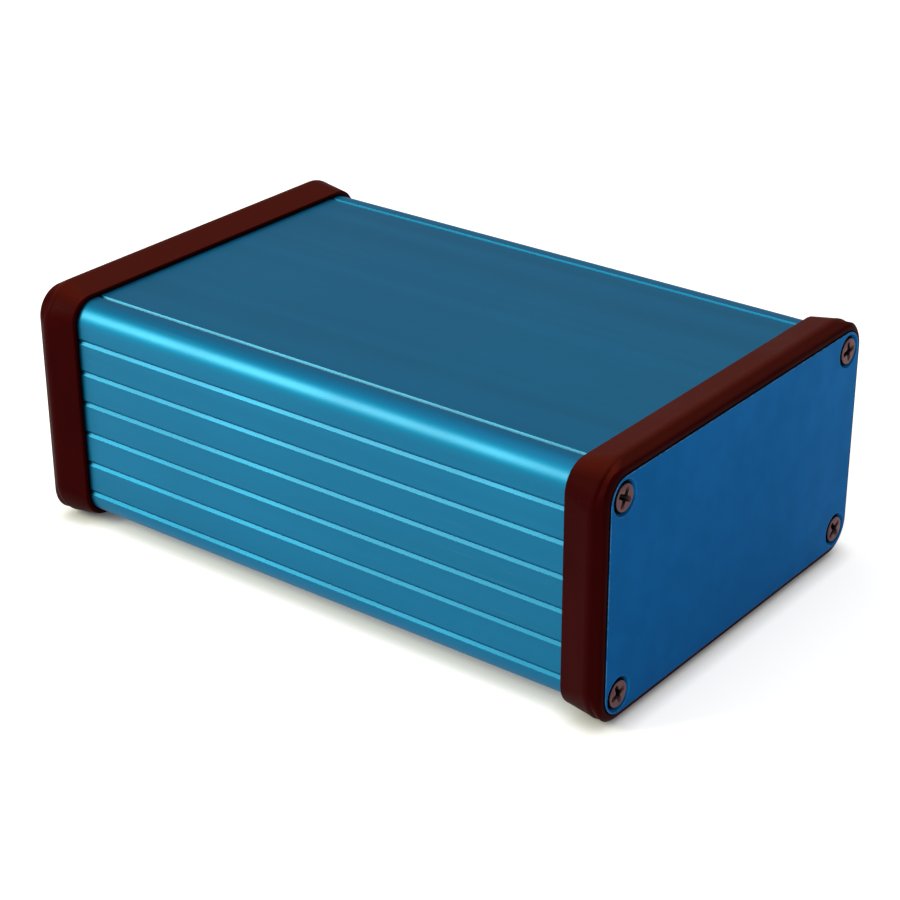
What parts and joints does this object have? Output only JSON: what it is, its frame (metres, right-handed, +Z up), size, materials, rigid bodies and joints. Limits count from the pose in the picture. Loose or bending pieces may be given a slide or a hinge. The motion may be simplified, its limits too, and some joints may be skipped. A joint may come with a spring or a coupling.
{
  "type": "single board computer",
  "caption": "Single board computer in a grooved blue extruded aluminium case, with a sliding cover, moulded end bezels, screwed end panels and a circuit board in card guides.",
  "frame": {"origin": "under the middle of the case, at the level of the bezels' lowest ridges, on which it stands", "axes": "+X along the case towards the plain end panel, +Y across it, +Z up towards the sliding cover"},
  "size_m": [0.127, 0.083, 0.0478],
  "materials": {
    "anodised_case": "satin blue anodising",
    "bezel_plastic": "moulded, dark maroon brown",
    "screw_steel": "dark browned steel",
    "board_laminate": "green solder mask, satin",
    "chip_resin": "matt black resin",
    "thermal_pad": "soft grey blue pad",
    "heat_sink_black": "black anodised",
    "moulded_black": "moulded",
    "contact_metal": "tinned",
    "inductor_body": "pressed iron powder",
    "capacitor_can": "plain can",
    "fuse_body": "moulded",
    "tin_plate": "tin plated",
    "card_plastic": "moulded",
    "contact_gold": "gold plated",
    "connector_cream": "moulded",
    "light_lens": "clear moulded"
  },
  "bodies": {
    "case": {"case_body": "anodised_case"},
    "cover": {"cover_plate": "anodised_case"},
    "front_bezel": {"front_bezel": "bezel_plastic"},
    "front_panel": {"front_panel": "anodised_case"},
    "front_screws": {"front_screws": "screw_steel"},
    "rear_bezel": {"rear_bezel": "bezel_plastic"},
    "rear_panel": {"rear_panel": "anodised_case"},
    "rear_screws": {"rear_screws": "screw_steel"},
    "board": {"circuit_board": "board_laminate", "processor": "chip_resin", "thermal_pad": "thermal_pad", "heat_sink": "heat_sink_black", "memory_chip_a": "chip_resin", "memory_chip_b": "chip_resin", "storage_chip": "chip_resin", "power_jack": "moulded_black", "power_pin": "contact_metal", "power_controller": "chip_resin", "power_inductor": "inductor_body", "power_capacitors": "capacitor_can", "input_fuse": "fuse_body", "network_shell": "tin_plate", "network_insert": "moulded_black", "network_controller": "chip_resin", "usb_shell": "tin_plate", "usb_insert": "moulded_black", "usb_controller": "chip_resin", "video_shell": "tin_plate", "video_insert": "moulded_black", "card_slot": "tin_plate", "header_base": "moulded_black", "header_pins": "contact_gold", "display_connector": "connector_cream", "camera_connector": "connector_cream", "clock_crystal": "tin_plate", "status_lights": "light_lens"},
    "memory_card": {"memory_card": "card_plastic"}
  },
  "joints": [
    {"name": "front_screws_out", "type": "slide", "parent": "case", "child": "front_screws", "axis": [1, 0, 0], "range_m": [0, 0.16]},
    {"name": "front_panel_off", "type": "slide", "parent": "case", "child": "front_panel", "axis": [1, 0, 0], "range_m": [0, 0.1472]},
    {"name": "front_bezel_off", "type": "slide", "parent": "case", "child": "front_bezel", "axis": [1, 0, 0], "range_m": [0, 0.136]},
    {"name": "cover_out", "type": "slide", "parent": "case", "child": "cover", "axis": [1, 0, 0], "range_m": [0, 0.1248]},
    {"name": "rear_screws_out", "type": "slide", "parent": "case", "child": "rear_screws", "axis": [-1, 0, 0], "range_m": [0, 0.14]},
    {"name": "rear_panel_off", "type": "slide", "parent": "case", "child": "rear_panel", "axis": [-1, 0, 0], "range_m": [0, 0.1288]},
    {"name": "rear_bezel_off", "type": "slide", "parent": "case", "child": "rear_bezel", "axis": [-1, 0, 0], "range_m": [0, 0.1176]},
    {"name": "board_out", "type": "slide", "parent": "case", "child": "board", "axis": [-1, 0, 0], "range_m": [0, 0.105]},
    {"name": "memory_card_out", "type": "slide", "parent": "board", "child": "memory_card", "axis": [-1, 0, 0], "range_m": [0, 0.016]}
  ],
  "couplings": [
    {"joint": "front_panel_off", "follows": "front_screws_out", "ratio": 0.92},
    {"joint": "front_bezel_off", "follows": "front_screws_out", "ratio": 0.85},
    {"joint": "cover_out", "follows": "front_screws_out", "ratio": 0.78},
    {"joint": "rear_panel_off", "follows": "rear_screws_out", "ratio": 0.92},
    {"joint": "rear_bezel_off", "follows": "rear_screws_out", "ratio": 0.84},
    {"joint": "board_out", "follows": "rear_screws_out", "ratio": 0.75}
  ]
}
